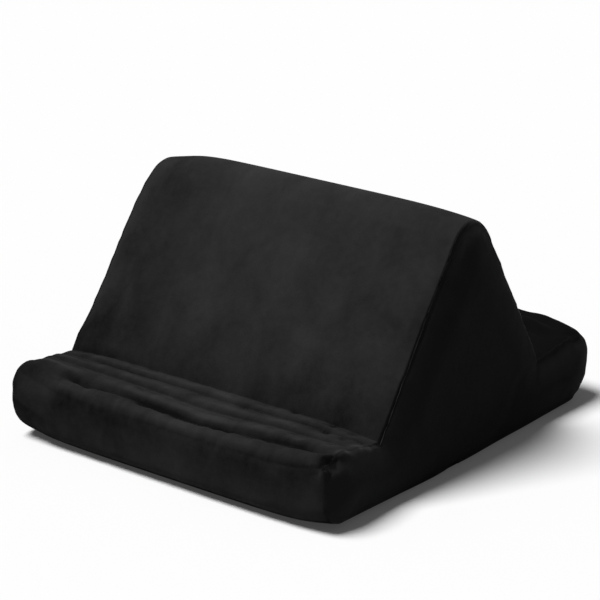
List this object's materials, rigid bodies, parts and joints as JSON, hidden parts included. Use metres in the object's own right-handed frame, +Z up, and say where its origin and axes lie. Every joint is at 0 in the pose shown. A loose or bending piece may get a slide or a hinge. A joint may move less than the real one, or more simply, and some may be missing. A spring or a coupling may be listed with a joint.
{
  "type": "tablet stand cushion",
  "caption": "Cushioned tablet stand: a foam wedge on a padded foam base in a zipped velvet cover, with channelled ledges along the front and the rear that hold a tablet's edge.",
  "frame": {"origin": "centre of the underside, on the plane that the stand rests on", "axes": "+X to the right of a user who sits in front, -Y towards that user, +Z up"},
  "size_m": [0.3122, 0.35, 0.193],
  "materials": {
    "velvet": "black short-pile velvet",
    "lining": "black woven lining",
    "wadding": "white polyester wadding",
    "foam": "cream open-cell polyurethane foam",
    "zip_tape": "black woven zip tape",
    "zip_coil": "black nylon coil",
    "zip_metal": "black painted zinc"
  },
  "bodies": {
    "cushion": {"velvet_cover": "velvet", "left_side_panel": "velvet", "right_side_panel": "velvet", "front_underside_panel": "velvet", "rear_underside_panel": "velvet", "foam_base": "foam", "foam_wedge": "foam", "front_ledge_wadding": "wadding", "rear_ledge_wadding": "wadding", "front_ledge_lining": "lining", "rear_ledge_lining": "lining", "front_zip_tape": "zip_tape", "rear_zip_tape": "zip_tape", "front_zip_coil": "zip_coil", "rear_zip_coil": "zip_coil"},
    "slider": {"zip_slider": "zip_metal"},
    "pull": {"zip_pull": "zip_metal"}
  },
  "joints": [
    {"name": "zip_slide", "type": "slide", "parent": "cushion", "child": "slider", "axis": [-1, 0, 0], "range_m": [0, 0.264], "deforming": ["front_zip_coil", "rear_zip_coil"]},
    {"name": "pull_swing", "type": "hinge", "parent": "slider", "child": "pull", "pos_m": [0.132, -0.015, 0.0023], "axis": [0, -1, 0], "range_deg": [0, 170]}
  ]
}
